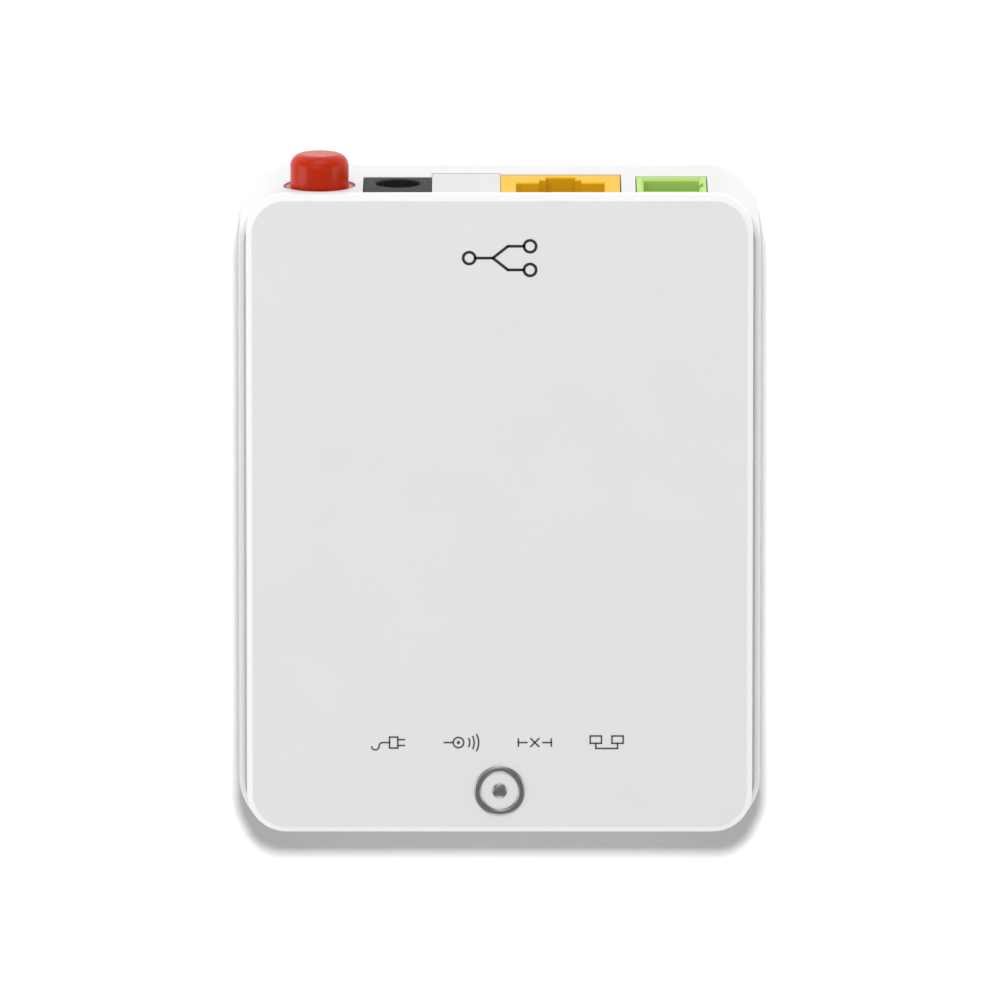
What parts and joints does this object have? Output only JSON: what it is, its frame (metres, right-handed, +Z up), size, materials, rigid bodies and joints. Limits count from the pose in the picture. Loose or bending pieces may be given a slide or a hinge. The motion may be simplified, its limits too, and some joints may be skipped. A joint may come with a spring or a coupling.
{
  "type": "optical network terminal",
  "caption": "Small flat fibre-to-Ethernet box with a plain front cover, a push-button power switch, a round power jack, a network jack and an optical port on one edge.",
  "frame": {"origin": "on the desk, under the middle of the box that holds the whole object with its power button", "axes": "+Z up out of the front cover, +Y out of the wall with the ports and along the longest side, +X to the right seen from above with the ports at the far side"},
  "size_m": [0.0696, 0.0912, 0.025],
  "materials": {
    "aluminium_sink": "natural anodised",
    "blank_plastic": "fine satin moulded plastic, a shade greyer than the shell",
    "capacitor_sleeve": "bare aluminium can",
    "ceramic_parts": "tan ceramic",
    "charcoal_plastic": "matte charcoal plastic",
    "chip_black": "moulded black epoxy",
    "circuit_board": "green solder mask",
    "clear_guide": "clear acrylic",
    "ferrite": "grey-black ferrite",
    "gold_contacts": "gold plated",
    "green_plastic": "satin green plastic",
    "green_rubber": "soft green",
    "grey_rubber": "dark grey rubber",
    "led_white": "white LED package",
    "orange_button": "satin orange-red plastic",
    "plated_metal": "nickel plated",
    "switch_white": "natural acetal",
    "thermal_pad": "soft blue-grey pad",
    "white_cover": "fine satin moulded plastic, white",
    "white_jacket": "white fibre jacket",
    "white_shell": "fine satin moulded plastic, white",
    "yellow_plastic": "satin yellow plastic",
    "zinc_screw": "zinc plated",
    "zirconia": "polished white ceramic"
  },
  "bodies": {
    "housing": {"alignment_sleeve": "zirconia", "board_screws": "zinc_screw", "board_small_parts": "ceramic_parts", "case_screws": "zinc_screw", "clock_crystal": "plated_metal", "detector_can": "plated_metal", "ferrule_holder": "green_plastic", "fibre_pigtail": "white_jacket", "filter_capacitors": "capacitor_sleeve", "flash_chip": "chip_black", "front_cover": "white_cover", "heat_sink": "aluminium_sink", "lan_jack": "yellow_plastic", "lan_jack_contacts": "gold_contacts", "lan_transformer": "chip_black", "laser_can": "plated_metal", "led_light_guide": "clear_guide", "main_board": "circuit_board", "main_processor": "chip_black", "memory_chip": "chip_black", "module_clamp": "charcoal_plastic", "optical_adapter": "green_plastic", "optical_driver_chip": "chip_black", "optical_module": "plated_metal", "pigtail_boot": "green_rubber", "pigtail_ferrule": "zirconia", "pigtail_plug": "green_plastic", "port_blank": "blank_plastic", "power_inductor": "ferrite", "power_jack": "charcoal_plastic", "power_jack_pin": "plated_metal", "power_jack_spring": "plated_metal", "power_switch_body": "charcoal_plastic", "power_switch_spring": "plated_metal", "rear_housing": "white_shell", "reset_switch_body": "plated_metal", "rubber_feet": "grey_rubber", "status_leds": "led_white", "thermal_pad": "thermal_pad"},
    "power_button": {"power_button": "orange_button", "power_switch_plunger": "switch_white"},
    "reset_button": {"reset_switch_plunger": "chip_black"}
  },
  "joints": [
    {"name": "power_push", "type": "slide", "parent": "housing", "child": "power_button", "axis": [0, -1, 0], "range_m": [0, 0.0022], "stiffness_N_per_m": 1000, "springref_m": -0.0005, "deforming": ["power_switch_spring"]},
    {"name": "reset_push", "type": "slide", "parent": "housing", "child": "reset_button", "axis": [1, 0, 0], "range_m": [0, 0.00025], "stiffness_N_per_m": 4000, "springref_m": -0.0001}
  ]
}
